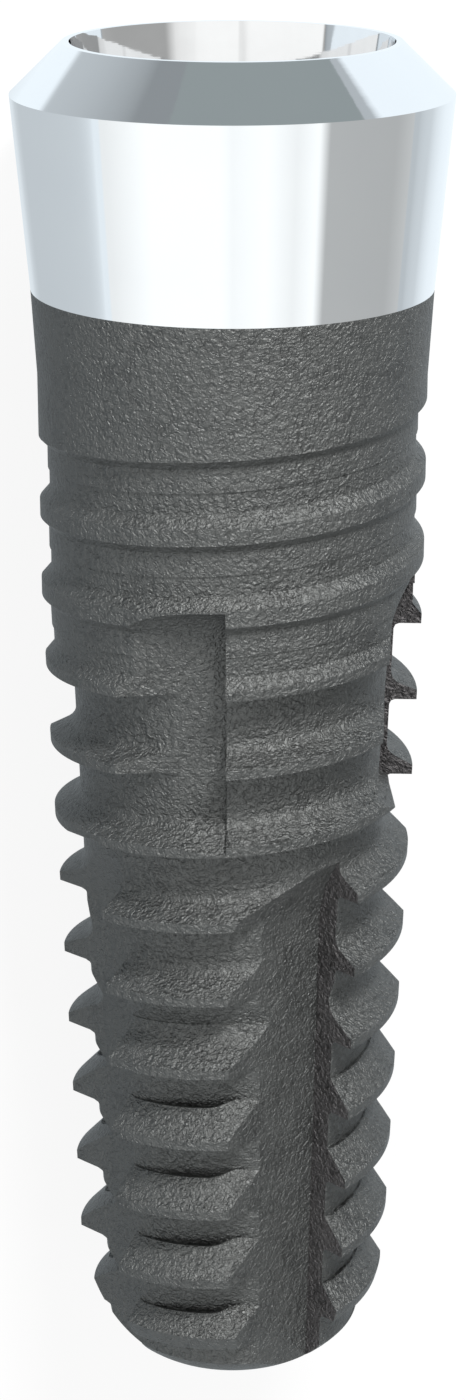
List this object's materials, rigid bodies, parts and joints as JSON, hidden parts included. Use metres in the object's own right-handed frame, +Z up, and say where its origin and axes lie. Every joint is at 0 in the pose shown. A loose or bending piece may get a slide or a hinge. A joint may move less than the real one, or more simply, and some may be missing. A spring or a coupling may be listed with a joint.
{
  "type": "dental implant",
  "caption": "Tissue-level screw implant: polished flared collar with an open cone bore, and a blasted, tapered body with buttress thread and staggered flutes.",
  "frame": {"origin": "on the floor under the middle of the implant's box, as it lies on its side", "axes": "+Y towards the platform, along the floor; +Z up; the implant's own axis rises 2.4 degrees towards the platform"},
  "size_m": [0.0048, 0.0158, 0.0048],
  "materials": {
    "titanium": "blasted dark grey body, mirror-polished collar and bore"
  },
  "bodies": {
    "root": {"implant": "titanium"}
  },
  "joints": []
}
